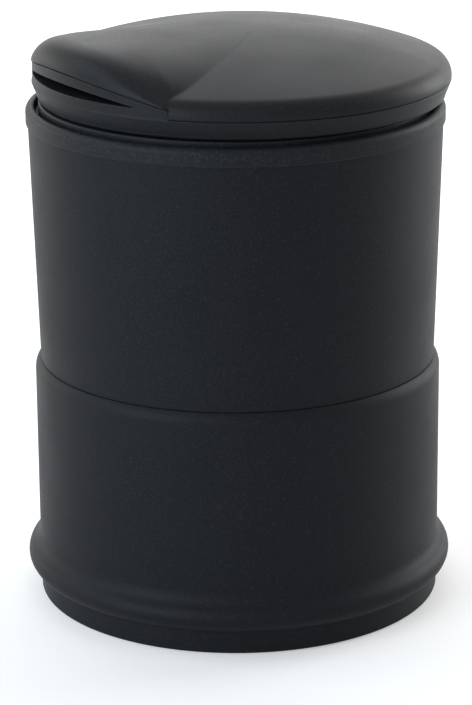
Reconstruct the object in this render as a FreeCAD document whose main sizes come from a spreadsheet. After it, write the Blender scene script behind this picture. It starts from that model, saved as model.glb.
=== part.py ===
import FreeCAD, Part
import math
import os
import re
import Sketcher

# Cup-holder car ashtray: a tapered cup in a sleeve, a drawn steel liner and a domed lid on a pin hinge.
# Millimetres, +Z up, origin under the centre of the foot, hinge towards +X and thumb tab towards -X.

SIZES = {
    # foot, its rubber pad and its screws
    "foot_inset": 0.1,
    "foot_top": 4.4,
    "foot_edge_round": 0.4,
    "foot_spigot_height": 3.0,
    "foot_spigot_wall": 2.4,
    "pad_width": 7.0,
    "pad_margin": 4.6,
    "pad_proud": 0.15,
    "pad_recess": 1.2,
    "pad_gap": 0.2,
    "foot_screw_inset": 8.0,
    "foot_screw_sink": 2.0,
    "foot_screw_length": 6.0,
    # screws of both kinds
    "screw_radius": 1.2,
    "screw_head_radius": 2.5,
    "screw_head_height": 1.3,
    "screw_hole_gap": 0.2,
    "screw_thread_gap": 0.02,
    "boss_wall": 2.0,
    # sleeve with the bead
    "sleeve_wall": 1.8,
    "sleeve_height": 38.7,
    "sleeve_ease": 0.9,
    "sleeve_ease_radius": 2.6,
    "sleeve_fit": 0.1,
    "sleeve_foot_gap": 0.1,
    "bead_proud": 2.1,
    "bead_rise": 2.4,
    "bead_radius": 2.5,
    "bead_fillet": 3.0,
    # cup
    "cup_shoulder": 0.9,
    "cup_taper": 1.2,
    "cup_wall": 2.0,
    "cup_floor_gap": 1.6,
    "cup_floor": 2.0,
    "cup_neck_wall": 1.4,
    "cup_neck_height": 1.8,
    "step_gap": 0.1,
    "cup_side": 42.0,
    # rim ring
    "rim_radius": 36.25,
    "rim_wall": 1.55,
    "rim_proud": 0.35,
    "rim_height": 3.2,
    "rim_round": 1.1,
    "rim_inner_round": 0.4,
    "rim_chamfer": 0.25,
    "rim_fit": 0.1,
    # collar and its hinge ears
    "collar_wall": 1.8,
    "collar_lip": 1.4,
    "collar_rise": 2.1,
    "collar_depth": 7.0,
    "collar_round": 0.3,
    "collar_fit": 0.1,
    "hinge_inset": 3.0,
    "hinge_rise": 1.45,
    "ear_radius": 1.5,
    "ear_inner": 5.5,
    "ear_width": 3.0,
    "ear_lap": 0.3,
    "ear_gap": 0.65,
    "ear_heel": 0.6,
    "ear_shoulder": 0.6,
    "notch_gap": 0.3,
    # hinge pin
    "pin_radius": 0.75,
    "pin_chamfer": 0.2,
    "pin_fit": 0.02,
    "pin_running_gap": 0.06,
    # liner and stub bridge
    "liner_wall": 0.8,
    "liner_rim_width": 1.5,
    "liner_seat_gap": 0.2,
    "liner_side_gap": 0.4,
    "liner_taper": 1.3,
    "liner_floor_gap": 1.0,
    "liner_corner": 4.0,
    "bridge_width": 12.0,
    "bridge_sheet": 0.8,
    "bridge_drop": 5.1,
    "bridge_flange": 6.0,
    "bridge_dip": 4.0,
    "bridge_dip_half": 6.0,
    "bridge_dip_slope": 4.0,
    "bridge_gap": 0.1,
    "stub_hole_radius": 4.2,
    "stub_hole_inset": 11.9,
    # lid, measured from its own axis, which stands towards the hinge
    "lid_offset": 1.25,
    "lid_gap": 0.25,
    "lid_inset": 0.1,
    "base_height": 3.25,
    "seam_gap": 0.05,
    "seam_chamfer": 0.15,
    "base_taper": 0.95,
    "base_round": 0.6,
    "base_wall": 2.7,
    "base_floor": 1.6,
    "shield_land": 0.7,
    "shield_sheet": 0.6,
    "shield_recess": 0.7,
    "shield_gap": 0.2,
    "seal_width": 1.0,
    "seal_inset": 0.4,
    "seal_recess": 0.7,
    "seal_proud": 0.15,
    "seal_side_gap": 0.05,
    "lid_screw_inset": 6.3,
    "lid_screw_length": 5.2,
    "knuckle_radius": 1.5,
    "knuckle_gap": 0.3,
    "web_lap": 0.15,
    "notch_depth": 2.1,
    "cover_skirt": 0.3,
    "cover_wall": 1.8,
    "cover_spigot": 1.0,
    "cover_spigot_wall": 1.3,
    "cover_spigot_fit": 0.1,
    "shoulder_radius": 3.2,
    "crown_radius": 100.0,
    # nose of the lid, its arched mouth and the finger scoop; lengths run from the lid axis to the tab
    "nose_drop": 0.1,
    "nose_radius": 48.0,
    "nose_side_radius": 8.0,
    "nose_half": 24.2,
    "nose_root": 2.0,
    "brow_rise": 2.95,
    "brow_radius": 6.3,
    "mouth_depth": 9.65,
    "mouth_half": 23.0,
    "mouth_step": 1.5,
    "mouth_rise": 3.5,
    "lug_back_gap": 0.5,
    "lug_gap": 0.1,
    "scoop_depth": 5.1,
    "scoop_rise": 1.5,
    "scoop_height": 1.8,
}

# radii that follow from the rim's radius and levels that stand on the foot, through the lengths above
LINKED = {
    "bead_height": "foot_top + bead_rise",
    "cup_floor_bottom": "foot_top + foot_spigot_height + cup_floor_gap",
    "liner_bottom": "cup_floor_bottom + cup_floor + liner_floor_gap",
    "sleeve_top": "foot_top + sleeve_height",
    "rim_seam": "sleeve_top + step_gap + cup_side",
    "cup_top": "rim_seam + cup_neck_height",
    "rim_top": "rim_seam + rim_height",
    "collar_bottom": "cup_top - collar_depth",
    "collar_top": "cup_top + collar_rise",
    "bridge_deck": "collar_top - bridge_drop",
    "lid_bottom": "collar_top + lid_gap",
    "hinge_z": "lid_bottom + hinge_rise",
    "lid_seam": "lid_bottom + base_height",
    "brow_start": "lid_seam + brow_rise",
    "mouth_side": "lid_seam + mouth_step",
    "scoop_floor": "lid_seam + scoop_rise",
    "scoop_top": "scoop_floor + scoop_height",
    "lid_radius": "rim_radius - lid_inset",
    "cup_top_radius": "rim_radius - rim_proud",
    "cup_neck_radius": "rim_radius - rim_wall - rim_fit",
    "cup_mouth_radius": "cup_neck_radius - cup_neck_wall",
    "cup_step_radius": "cup_top_radius - cup_taper",
    "cup_lower_radius": "cup_step_radius - cup_shoulder",
    "sleeve_radius": "cup_lower_radius + sleeve_fit + sleeve_wall",
    "bead_outer": "sleeve_radius + bead_proud",
    "foot_radius": "sleeve_radius - foot_inset",
    "pad_outer": "foot_radius - pad_margin",
    "pad_inner": "pad_outer - pad_width",
    "foot_screw_circle": "pad_inner - foot_screw_inset",
    "collar_bore": "cup_mouth_radius - collar_fit - collar_wall",
    "liner_top_radius": "collar_bore - liner_side_gap",
    "liner_rim_radius": "liner_top_radius + liner_rim_width",
    "liner_bottom_radius": "liner_top_radius - liner_taper",
    "liner_seat_radius": "liner_rim_radius + liner_seat_gap",
    "collar_radius": "liner_seat_radius + collar_lip",
    "stub_hole_spacing": "liner_top_radius - stub_hole_inset",
    "hinge_x": "lid_offset + lid_radius - hinge_inset",
    "notch_x": "hinge_x - notch_depth",
    "ear_root": "liner_seat_radius - ear_lap",
    "ear_toe": "hinge_x + ear_heel",
    "base_bottom_radius": "lid_radius - base_taper",
    "base_inner": "lid_radius - base_wall",
    "seal_outer": "liner_rim_radius - seal_inset",
    "seal_inner": "seal_outer - seal_width",
    "shield_radius": "seal_inner - shield_land",
    "lid_screw_circle": "shield_radius - lid_screw_inset",
    "mouth_back": "lid_radius - mouth_depth",
    "lug_back": "mouth_back + lug_back_gap",
    "scoop_back": "lid_radius - scoop_depth",
}

SCREW_COUNT = 3
CLEAR = 5.0

DOC = FreeCAD.newDocument("car_ashtray")
SHEET = DOC.addObject("Spreadsheet::Sheet", "sizes")


def fill_sheet():
    """Put every size in a cell of its own, under its name, then the sizes that follow from others."""
    cells = {alias: str(value) for alias, value in SIZES.items()}
    cells.update({alias: f"={formula}" for alias, formula in LINKED.items()})
    for row, (alias, content) in enumerate(cells.items(), start=1):
        SHEET.set(f"A{row}", alias)
        SHEET.setAlias(f"B{row}", alias)
        SHEET.set(f"B{row}", content)
    DOC.recompute()


def bound(text):
    """The expression with each size name pointed at its cell."""
    named = SIZES.keys() | LINKED.keys()
    return re.sub(r"[a-z][a-z_]*", lambda word: f"sizes.{word[0]}" if word[0] in named else word[0], text)


def number(text):
    """The expression's value at the sheet's present sizes."""
    return float(SHEET.evalExpression(bound(text)))


def new_body(label, x="0", y="0", z="0"):
    """An empty body at a place given by expressions."""
    body = DOC.addObject("PartDesign::Body", label)
    body.Label = label
    for axis, place in zip("xyz", (x, y, z)):
        if place != "0":
            body.setExpression(f"Placement.Base.{axis}", bound(place))
    return body


def origin_feature(body, role):
    """One of the body's own origin planes or axes."""
    return next(feature for feature in body.Origin.OriginFeatures if feature.Role == role)


def new_sketch(body, name, plane, offset):
    """An empty sketch on an origin plane, moved along the plane's normal."""
    sketch = body.newObject("Sketcher::SketchObject", f"{body.Name}_{name}")
    sketch.AttachmentSupport = [(origin_feature(body, plane), "")]
    sketch.MapMode = "FlatFace"
    if offset != "0":
        sketch.setExpression("AttachmentOffset.Base.z", bound(offset))
    return sketch


def pin_point(sketch, geometry, end, x, y):
    """Tie one point of a sketch to two expressions."""
    for axis, on_axis, text in (("DistanceX", -2, x), ("DistanceY", -1, y)):
        if text == "0":
            sketch.addConstraint(Sketcher.Constraint("PointOnObject", geometry, end, on_axis))
            continue
        index = sketch.addConstraint(Sketcher.Constraint(axis, -1, 1, geometry, end, number(text)))
        sketch.setExpression(f"Constraints[{index}]", bound(text))


def arc_between(start, end, radius, turn):
    """The shorter arc from start to end, anticlockwise for a turn of 1 and clockwise for -1."""
    if turn < 0:
        start, end = end, start
    chord = end.sub(start)
    across = FreeCAD.Vector(-chord.y, chord.x, 0).normalize()
    rise = math.sqrt(max(radius ** 2 - chord.Length ** 2 / 4, 0.0))
    centre = start + chord * 0.5 + across * rise
    angles = [math.atan2(point.y - centre.y, point.x - centre.x) for point in (start, end)]
    return Part.ArcOfCircle(Part.Circle(centre, FreeCAD.Vector(0, 0, 1), radius), *angles)


def outline(body, name, plane, corners, offset="0"):
    """A closed sketch. A corner is x and y, and for an arc to the next corner also its radius and turn."""
    sketch = new_sketch(body, name, plane, offset)
    points = [FreeCAD.Vector(number(corner[0]), number(corner[1]), 0) for corner in corners]
    ends = []
    for index, corner in enumerate(corners):
        start, end = points[index], points[(index + 1) % len(points)]
        if len(corner) == 2:
            sketch.addGeometry(Part.LineSegment(start, end))
            ends.append((1, 2))
        else:
            sketch.addGeometry(arc_between(start, end, number(corner[2]), corner[3]))
            ends.append((1, 2) if corner[3] > 0 else (2, 1))
    for index, corner in enumerate(corners):
        following = (index + 1) % len(corners)
        sketch.addConstraint(
            Sketcher.Constraint("Coincident", index, ends[index][1], following, ends[following][0]))
        pin_point(sketch, index, ends[index][0], corner[0], corner[1])
        if len(corner) > 2:
            radius = sketch.addConstraint(Sketcher.Constraint("Radius", index, number(corner[2])))
            sketch.setExpression(f"Constraints[{radius}]", bound(corner[2]))
    return sketch


def circles(body, name, plane, rounds, offset="0"):
    """A sketch of circles, each given by the x and y of its centre and its radius."""
    sketch = new_sketch(body, name, plane, offset)
    for index, (x, y, radius) in enumerate(rounds):
        centre = FreeCAD.Vector(number(x), number(y), 0)
        sketch.addGeometry(Part.Circle(centre, FreeCAD.Vector(0, 0, 1), number(radius)))
        pin_point(sketch, index, 3, x, y)
        size = sketch.addConstraint(Sketcher.Constraint("Radius", index, number(radius)))
        sketch.setExpression(f"Constraints[{size}]", bound(radius))
    return sketch


def revolve(body, corners, kind="Revolution"):
    """Turn a closed half section in the XZ plane about the body's own Z axis; a Groove cuts it away."""
    sketch = outline(body, f"{kind.lower()}_section", "XZ_Plane", corners)
    feature = body.newObject(f"PartDesign::{kind}", f"{body.Name}_{kind.lower()}")
    feature.Profile = sketch
    feature.ReferenceAxis = (sketch, ["V_Axis"])
    feature.Angle = 360
    return feature


def pad(body, name, sketch, length, symmetric=False):
    """Add a sketch's extrusion along its normal, or to both sides of it."""
    feature = body.newObject("PartDesign::Pad", f"{body.Name}_{name}")
    feature.Profile = sketch
    feature.setExpression("Length", bound(length))
    feature.SideType = "Symmetric" if symmetric else "One side"
    return feature


def pocket(body, name, sketch, length=None, symmetric=False, along_normal=False):
    """Cut a sketch's extrusion away, right through where no length is given."""
    feature = body.newObject("PartDesign::Pocket", f"{body.Name}_{name}")
    feature.Profile = sketch
    feature.SideType = "Symmetric" if symmetric else "One side"
    feature.Reversed = along_normal
    if length is None:
        feature.Type = "ThroughAll"
    else:
        feature.Type = "Length"
        feature.setExpression("Length", bound(length))
    return feature


def screw_pattern(body, feature):
    """Repeat a feature round the body's Z axis, once for each screw."""
    pattern = body.newObject("PartDesign::PolarPattern", f"{feature.Name}_round")
    pattern.Originals = [feature]
    pattern.Axis = (origin_feature(body, "Z_Axis"), [""])
    pattern.Angle = 360
    pattern.Occurrences = SCREW_COUNT
    body.Tip = pattern
    return pattern


def rectangle(x_low, x_high, y_half):
    """Corners of a rectangle that is symmetric about the X axis."""
    return [(x_low, f"-({y_half})"), (x_high, f"-({y_half})"), (x_high, y_half), (x_low, y_half)]


def make_foot_pad():
    """Rubber ring that stands a little proud of the foot."""
    body = new_body("foot_pad")
    thickness = "pad_proud + pad_recess"
    revolve(body, [
        ("pad_inner", "0"),
        ("pad_outer", "0"),
        ("pad_outer", thickness),
        ("pad_inner", thickness),
    ])
    return body


def make_foot():
    """Base disc with a groove for the pad, a spigot into the sleeve and sunk screw holes."""
    body = new_body("foot")
    groove_inner, groove_outer = "pad_inner - pad_gap", "pad_outer + pad_gap"
    groove_top = "pad_proud + pad_recess"
    spigot_top = "foot_top + foot_spigot_height"
    spigot_inner = "cup_lower_radius - foot_spigot_wall"
    revolve(body, [
        ("0", "pad_proud"),
        (groove_inner, "pad_proud"),
        (groove_inner, groove_top),
        (groove_outer, groove_top),
        (groove_outer, "pad_proud"),
        ("foot_radius - foot_edge_round", "pad_proud", "foot_edge_round", 1),
        ("foot_radius", "pad_proud + foot_edge_round"),
        ("foot_radius", "foot_top"),
        ("cup_lower_radius", "foot_top"),
        ("cup_lower_radius", spigot_top),
        (spigot_inner, spigot_top),
        (spigot_inner, "foot_top"),
        ("0", "foot_top"),
    ])
    hole = circles(body, "hole", "XY_Plane", [("foot_screw_circle", "0", "screw_radius + screw_hole_gap")])
    screw_pattern(body, pocket(body, "screw_hole", hole, symmetric=True))
    head = [("foot_screw_circle", "0", "screw_head_radius + screw_hole_gap")]
    sink = circles(body, "sink", "XY_Plane", head, "pad_proud + foot_screw_sink")
    screw_pattern(body, pocket(body, "screw_sink", sink))
    return body


def make_lower_sleeve():
    """Straight sleeve with an eased top edge and a bead that runs into it by a hollow fillet."""
    body = new_body("lower_sleeve")
    bore = "cup_lower_radius + sleeve_fit"
    bottom = "(foot_top + sleeve_foot_gap)"
    bead_axis = "(bead_outer - bead_radius)"
    reach = "(bead_radius + bead_fillet)"
    aside = f"(sleeve_radius + bead_fillet - {bead_axis})"
    rise = f"sqrt({reach}^2 - {aside}^2)"
    ease = "sqrt(sleeve_ease_radius^2 - (sleeve_ease_radius - sleeve_ease)^2)"
    revolve(body, [
        (bore, bottom),
        (f"{bead_axis} + sqrt(bead_radius^2 - (bead_height - {bottom})^2)", bottom, "bead_radius", 1),
        (f"{bead_axis} + bead_radius * {aside} / {reach}", f"bead_height + bead_radius * {rise} / {reach}",
         "bead_fillet", -1),
        ("sleeve_radius", f"bead_height + {rise}"),
        ("sleeve_radius", f"sleeve_top - {ease}", "sleeve_ease_radius", 1),
        ("sleeve_radius - sleeve_ease", "sleeve_top"),
        (bore, "sleeve_top"),
    ])
    return body


def make_outer_cup():
    """Tapered cup: a shoulder on the sleeve, a neck for the rim ring and screw bosses under its floor."""
    body = new_body("outer_cup")
    step = "sleeve_top + step_gap"
    bore = "cup_lower_radius - cup_wall"
    floor_top = "cup_floor_bottom + cup_floor"
    revolve(body, [
        ("0", "cup_floor_bottom"),
        ("cup_lower_radius", "cup_floor_bottom"),
        ("cup_lower_radius", step),
        ("cup_step_radius", step),
        ("cup_top_radius", "rim_seam"),
        ("cup_neck_radius", "rim_seam"),
        ("cup_neck_radius", "cup_top"),
        ("cup_mouth_radius", "cup_top"),
        ("cup_mouth_radius", "collar_bottom - collar_fit"),
        (bore, step),
        (bore, floor_top),
        ("0", floor_top),
    ])
    depth = "cup_floor_bottom + cup_floor / 2 - foot_top"
    post = [("foot_screw_circle", "0", "screw_radius + boss_wall")]
    boss = circles(body, "boss", "XY_Plane", post, "foot_top")
    screw_pattern(body, pad(body, "screw_boss", boss, depth))
    core = [("foot_screw_circle", "0", "screw_radius + screw_thread_gap")]
    thread = circles(body, "thread", "XY_Plane", core, "foot_top")
    screw_pattern(body, pocket(body, "screw_thread", thread, depth, along_normal=True))
    return body


def make_rim_ring():
    """Band round the mouth, rounded over at the top and notched for the hinge ears."""
    body = new_body("rim_ring")
    bore = "cup_neck_radius + rim_fit"
    revolve(body, [
        (bore, "rim_seam"),
        ("rim_radius - rim_chamfer", "rim_seam"),
        ("rim_radius", "rim_seam + rim_chamfer"),
        ("rim_radius", "rim_top - rim_round", "rim_round", 1),
        ("rim_radius - rim_round", "rim_top"),
        (f"{bore} + rim_inner_round", "rim_top", "rim_inner_round", 1),
        (bore, "rim_top - rim_inner_round"),
    ])
    notch = rectangle("ear_root", "rim_radius + ear_width", "ear_inner + ear_width + notch_gap")
    cut = outline(body, "notch", "XY_Plane", notch, "cup_top - step_gap")
    pocket(body, "hinge_notch", cut, along_normal=True)
    return body


def make_collar():
    """Ring that seats in the cup's mouth, takes the liner's rim and carries the lid on two ears."""
    body = new_body("collar")
    spigot = "cup_mouth_radius - collar_fit"
    seat = "collar_top - liner_wall"
    revolve(body, [
        ("collar_bore", "collar_bottom"),
        (spigot, "collar_bottom"),
        (spigot, "cup_top"),
        ("collar_radius", "cup_top"),
        ("collar_radius", "collar_top - collar_round", "collar_round", 1),
        ("collar_radius - collar_round", "collar_top"),
        ("liner_seat_radius", "collar_top"),
        ("liner_seat_radius", seat),
        ("collar_bore", seat),
    ])
    ear = [
        ("ear_root", "cup_top"),
        ("ear_toe", "cup_top"),
        ("hinge_x + ear_radius", "hinge_z", "ear_radius", 1),
        ("hinge_x", "hinge_z + ear_radius"),
        ("notch_x + ear_gap + ear_shoulder", "hinge_z + ear_radius"),
        ("notch_x + ear_gap", "hinge_z + ear_radius - ear_shoulder"),
        ("notch_x + ear_gap", "collar_top"),
        ("ear_root", "collar_top"),
    ]
    for side, offset in (("left", "-(ear_inner + ear_width)"), ("right", "ear_inner")):
        pad(body, f"{side}_ear", outline(body, f"{side}_ear_side", "XZ_Plane", ear, offset), "ear_width")
    hole = circles(body, "pin_bore", "XZ_Plane", [("hinge_x", "hinge_z", "pin_radius + pin_fit")])
    pocket(body, "pin_hole", hole, symmetric=True)
    return body


def make_hinge_pin():
    """Plain steel pin with chamfered ends, held in the ears."""
    body = new_body("hinge_pin", x="hinge_x", z="hinge_z")
    section = circles(body, "section", "XZ_Plane", [("0", "0", "pin_radius")])
    pin = pad(body, "rod", section, "2 * (ear_inner + ear_width)", symmetric=True)
    DOC.recompute()
    chamfer = body.newObject("PartDesign::Chamfer", "hinge_pin_ends")
    rims = [f"Edge{index}" for index, edge in enumerate(pin.Shape.Edges, start=1) if edge.Closed]
    chamfer.Base = (pin, rims)
    chamfer.setExpression("Size", bound("pin_chamfer"))
    return body


def liner_inner(height):
    """Expression for the liner's inner radius at a height."""
    corner_top = "(liner_bottom + liner_corner)"
    share = f"(({height}) - {corner_top}) / (collar_top - liner_wall - {corner_top})"
    return f"(liner_bottom_radius - liner_wall + (liner_top_radius - liner_bottom_radius) * {share})"


def make_liner():
    """Drawn steel ash cup, hung in the collar by its rim."""
    body = new_body("liner")
    seat = "collar_top - liner_wall"
    corner_top = "liner_bottom + liner_corner"
    inner_corner = "liner_corner - liner_wall"
    revolve(body, [
        ("0", "liner_bottom"),
        ("liner_bottom_radius - liner_corner", "liner_bottom", "liner_corner", 1),
        ("liner_bottom_radius", corner_top),
        ("liner_top_radius", seat),
        ("liner_rim_radius", seat),
        ("liner_rim_radius", "collar_top"),
        ("liner_top_radius - liner_wall", "collar_top"),
        ("liner_bottom_radius - liner_wall", corner_top, inner_corner, -1),
        ("liner_bottom_radius - liner_corner", "liner_bottom + liner_wall"),
        ("0", "liner_bottom + liner_wall"),
    ])
    return body


def make_stub_bridge():
    """Folded steel strip across the liner: flanges on its wall, a dip for the cigarette, two stub holes."""
    body = new_body("stub_bridge")
    foot = "bridge_deck - bridge_flange"
    reach = f"sqrt(({liner_inner(foot)} - bridge_gap)^2 - (bridge_width / 2)^2)"
    dip_edge = "bridge_dip_half + bridge_dip_slope"
    dip = "bridge_deck - bridge_dip"
    half = [
        (f"{reach} - bridge_sheet", foot),
        (reach, foot),
        (reach, "bridge_deck"),
        (dip_edge, "bridge_deck"),
        ("bridge_dip_half", dip),
    ]
    under = [
        ("bridge_dip_half", f"{dip} - bridge_sheet"),
        (f"{dip_edge} + bridge_sheet / 2", "bridge_deck - bridge_sheet"),
        (f"{reach} - bridge_sheet", "bridge_deck - bridge_sheet"),
    ]
    far_side = [(f"-({y})", z) for y, z in reversed(half)]
    far_under = [(f"-({y})", z) for y, z in reversed(under)]
    section = outline(body, "section", "YZ_Plane", half + far_side + far_under + under)
    pad(body, "strip", section, "bridge_width", symmetric=True)
    holes = [("0", y, "stub_hole_radius") for y in ("stub_hole_spacing", "-stub_hole_spacing")]
    pocket(body, "stub_holes", circles(body, "hole_plan", "XY_Plane", holes), symmetric=True)
    return body


def apex():
    """Expression for the top of the lid, where the crown meets the lid axis."""
    return f"({shoulder_height()} - {crown_rise()} + crown_radius)"


def shoulder_height():
    """Expression for the height at which the lid's side starts to roll over."""
    return "(lid_seam + seam_gap + cover_skirt)"


def crown_rise():
    """Expression for the height of the shoulder's centre above the crown's centre."""
    return "sqrt((crown_radius - shoulder_radius)^2 - (lid_radius - shoulder_radius)^2)"


def nose_section():
    """Corners of the nose's cross-section: a wide flat arch with tightly rounded sides."""
    bottom = "(lid_seam + seam_gap + seam_chamfer)"
    side_axis = "(nose_half - nose_side_radius)"
    rise = f"sqrt((nose_radius - nose_side_radius)^2 - {side_axis}^2)"
    share = "(nose_radius / (nose_radius - nose_side_radius))"
    arch_z = f"({apex()} - nose_drop - nose_radius)"
    toe = f"({side_axis} + sqrt(nose_side_radius^2 - ({bottom} - {arch_z} - {rise})^2))"
    knee, knee_z = f"({share} * {side_axis})", f"({arch_z} + {share} * {rise})"
    return [
        (f"-{toe}", bottom),
        (toe, bottom, "nose_side_radius", 1),
        (knee, knee_z, "nose_radius", 1),
        (f"-{knee}", knee_z, "nose_side_radius", 1),
    ]


def mouth_section(gap, bottom):
    """Corners of the arched mouth under the nose, made smaller by a gap."""
    half = f"(mouth_half - {gap})"
    side = f"(mouth_side - {gap})"
    radius = "((mouth_half^2 + mouth_rise^2) / (2 * mouth_rise))"
    return [
        (f"-{half}", bottom),
        (half, bottom),
        (half, side, radius, 1),
        (f"-{half}", side),
    ]


def hinge_notch(name, body, offset="0", symmetric=False):
    """Cut the lid away round the collar's ears."""
    notch = rectangle("notch_x - lid_offset", f"lid_radius + {CLEAR}", "ear_inner + ear_width + notch_gap")
    pocket(body, name, outline(body, f"{name}_plan", "XY_Plane", notch, offset), symmetric=symmetric)


def make_lid_base():
    """Lower half of the lid: floor, wall, arched lug with the finger scoop and the hinge knuckle."""
    body = new_body("lid_base", x="lid_offset")
    far = f"lid_radius + {CLEAR}"
    floor_top = "lid_bottom + base_floor"
    revolve(body, [
        ("0", "lid_bottom"),
        ("base_bottom_radius - base_round", "lid_bottom", "base_round", 1),
        ("base_bottom_radius", "lid_bottom + base_round"),
        ("lid_radius", "lid_seam - seam_chamfer"),
        ("lid_radius - seam_chamfer", "lid_seam"),
        ("base_inner", "lid_seam"),
        ("base_inner", floor_top),
        ("0", floor_top),
    ])
    seat = circles(body, "shield_plan", "XY_Plane", [("-lid_offset", "0", "shield_radius + shield_gap")],
                   "lid_bottom")
    pocket(body, "shield_seat", seat, "shield_recess", along_normal=True)
    groove_sides = ("seal_outer + seal_side_gap", "seal_inner - seal_side_gap")
    groove = [("-lid_offset", "0", radius) for radius in groove_sides]
    pocket(body, "seal_groove", circles(body, "seal_plan", "XY_Plane", groove, "lid_bottom"), "seal_recess",
           along_normal=True)
    core_radius = "((base_inner + base_bottom_radius) / 2)"
    core_half = f"sqrt({core_radius}^2 - lug_back^2)"
    core = outline(body, "lug_core_plan", "XY_Plane",
                   [("-lug_back", core_half, core_radius, 1), ("-lug_back", f"-{core_half}")],
                   "lid_bottom + base_floor / 2")
    pad(body, "lug_core", core, "lid_seam - lid_bottom - base_floor / 2")
    lug = outline(body, "lug_section", "YZ_Plane", mouth_section("lug_gap", "lid_seam"), f"-({far})")
    pad(body, "lug", lug, f"{far} - lug_back")
    trim = [("0", "0", "lid_radius - seam_chamfer"), ("0", "0", f"2 * ({far})")]
    pocket(body, "lug_trim", circles(body, "trim_plan", "XY_Plane", trim, "lid_seam"), along_normal=True)
    scoop_end = f"scoop_floor + (scoop_top - scoop_floor) * ({far} - scoop_back) / (lid_radius - scoop_back)"
    scoop = outline(body, "scoop_side", "XZ_Plane", [
        ("-scoop_back", "scoop_floor"),
        (f"-({far})", scoop_end),
        (f"-({far})", "scoop_floor"),
    ])
    pocket(body, "finger_scoop", scoop, symmetric=True)
    hinge_notch("ear_notch", body, symmetric=True)
    axis = "(hinge_x - lid_offset)"
    under = f"{axis} - sqrt(knuckle_radius^2 - (hinge_z - lid_bottom)^2)"
    web_root = "notch_x - web_lap - lid_offset"
    knuckle = outline(body, "knuckle_side", "XZ_Plane", [
        (web_root, "lid_bottom"),
        (under, "lid_bottom", "knuckle_radius", 1),
        (f"{axis} + knuckle_radius", "hinge_z", "knuckle_radius", 1),
        (axis, "hinge_z + knuckle_radius"),
        (web_root, floor_top),
    ])
    pad(body, "knuckle", knuckle, "2 * (ear_inner - knuckle_gap)", symmetric=True)
    bore = circles(body, "pin_bore", "XZ_Plane", [(axis, "hinge_z", "pin_radius + pin_running_gap")])
    pocket(body, "pin_hole", bore, symmetric=True)
    post = [("lid_screw_circle", "0", "screw_radius + boss_wall")]
    boss = circles(body, "boss", "XY_Plane", post, "lid_bottom + shield_recess")
    boss_height = "lid_seam - cover_spigot - seam_gap - lid_bottom - shield_recess"
    screw_pattern(body, pad(body, "screw_boss", boss, boss_height))
    hole = circles(body, "hole", "XY_Plane", [("lid_screw_circle", "0", "screw_radius + screw_hole_gap")])
    screw_pattern(body, pocket(body, "screw_hole", hole, symmetric=True))
    return body


def make_lid_cover():
    """Domed upper half of the lid: dome with the raised nose and its mouth, hollowed, with screw posts."""
    dome = new_body("lid_dome", x="lid_offset")
    spigot_bottom = "lid_seam - cover_spigot"
    spigot = "base_inner - cover_spigot_fit"
    underside = "lid_seam + seam_gap"
    crown_reach = "(crown_radius / (crown_radius - shoulder_radius))"
    crown_z = f"({shoulder_height()} - {crown_rise()})"
    revolve(dome, [
        ("0", spigot_bottom),
        (spigot, spigot_bottom),
        (spigot, underside),
        ("lid_radius - seam_chamfer", underside),
        ("lid_radius", f"{underside} + seam_chamfer"),
        ("lid_radius", shoulder_height(), "shoulder_radius", 1),
        (f"{crown_reach} * (lid_radius - shoulder_radius)", f"{crown_z} + {crown_reach} * {crown_rise()}",
         "crown_radius", 1),
        ("0", apex()),
    ])
    far = f"lid_radius + {CLEAR}"
    nose = outline(dome, "nose_section", "YZ_Plane", nose_section(), f"-({far})")
    pad(dome, "nose", nose, f"{far} - nose_root")
    brow_inner = "lid_radius - brow_radius"
    revolve(dome, [
        ("lid_radius", "lid_bottom"),
        ("2 * lid_radius", "lid_bottom"),
        ("2 * lid_radius", f"{apex()} + {CLEAR}"),
        (brow_inner, f"{apex()} + {CLEAR}"),
        (brow_inner, "brow_start + brow_radius", "brow_radius", -1),
        ("lid_radius", "brow_start"),
    ], kind="Groove")
    mouth = mouth_section("0", f"lid_bottom - {CLEAR}")
    pocket(dome, "mouth", outline(dome, "mouth_section", "YZ_Plane", mouth, "-mouth_back"))
    hinge_notch("ear_notch", dome, offset=underside)
    core = [("lid_screw_circle", "0", "screw_radius + screw_thread_gap")]
    thread = circles(dome, "thread", "XY_Plane", core, spigot_bottom)
    thread_cut = pocket(dome, "screw_thread", thread, "lid_screw_length", along_normal=True)
    screw_pattern(dome, thread_cut)

    hollow = new_body("lid_hollow", x="lid_offset")
    hollow_radius = f"({spigot} - cover_spigot_wall)"
    inner_crown = "(crown_radius - cover_wall)"
    below = f"lid_bottom - {CLEAR}"
    revolve(hollow, [
        ("0", below),
        (hollow_radius, below),
        (hollow_radius, f"{crown_z} + sqrt({inner_crown}^2 - {hollow_radius}^2)", inner_crown, 1),
        ("0", f"{crown_z} + {inner_crown}"),
    ])
    post = circles(hollow, "post", "XY_Plane", [("lid_screw_circle", "0", "screw_radius + boss_wall")])
    screw_pattern(hollow, pocket(hollow, "screw_post", post, symmetric=True))

    cover = DOC.addObject("Part::Cut", "lid_cover")
    cover.Label = "lid_cover"
    cover.Base = dome
    cover.Tool = hollow
    return cover


def make_heat_shield():
    """Steel disc in the underside of the lid, centred on the cup."""
    body = new_body("heat_shield", x="lid_offset")
    disc = circles(body, "disc_plan", "XY_Plane", [("-lid_offset", "0", "shield_radius")],
                   "lid_bottom + shield_recess - shield_sheet")
    pad(body, "disc", disc, "shield_sheet")
    hole = circles(body, "hole", "XY_Plane", [("lid_screw_circle", "0", "screw_radius + screw_hole_gap")])
    screw_pattern(body, pocket(body, "screw_hole", hole, symmetric=True))
    return body


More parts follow.
